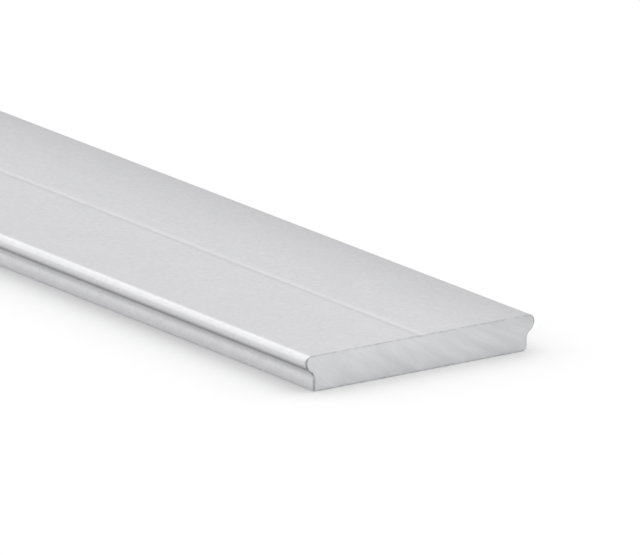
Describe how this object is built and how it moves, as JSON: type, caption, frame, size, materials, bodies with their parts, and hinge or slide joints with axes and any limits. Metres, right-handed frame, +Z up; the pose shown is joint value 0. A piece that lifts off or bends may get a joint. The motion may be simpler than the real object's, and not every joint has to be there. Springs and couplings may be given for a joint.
{
  "type": "aluminium extrusion profile",
  "caption": "Solid flat aluminium bar with rounded overhanging edges, coved sides and a shallow drilling line near the middle of its top face, sawn square at both ends; handrail or trim stock.",
  "frame": {"origin": "middle of the flat underside, halfway along the bar and halfway across it", "axes": "+X along the bar towards the sawn end that the picture shows, +Y across it, +Z up out of the face with the drilling line"},
  "size_m": [1, 0.06, 0.008],
  "materials": {
    "mill_aluminium": "satin mill finish, fine grain along the bar, sawn ends"
  },
  "bodies": {
    "root": {"profile_bar": "mill_aluminium"}
  },
  "joints": []
}
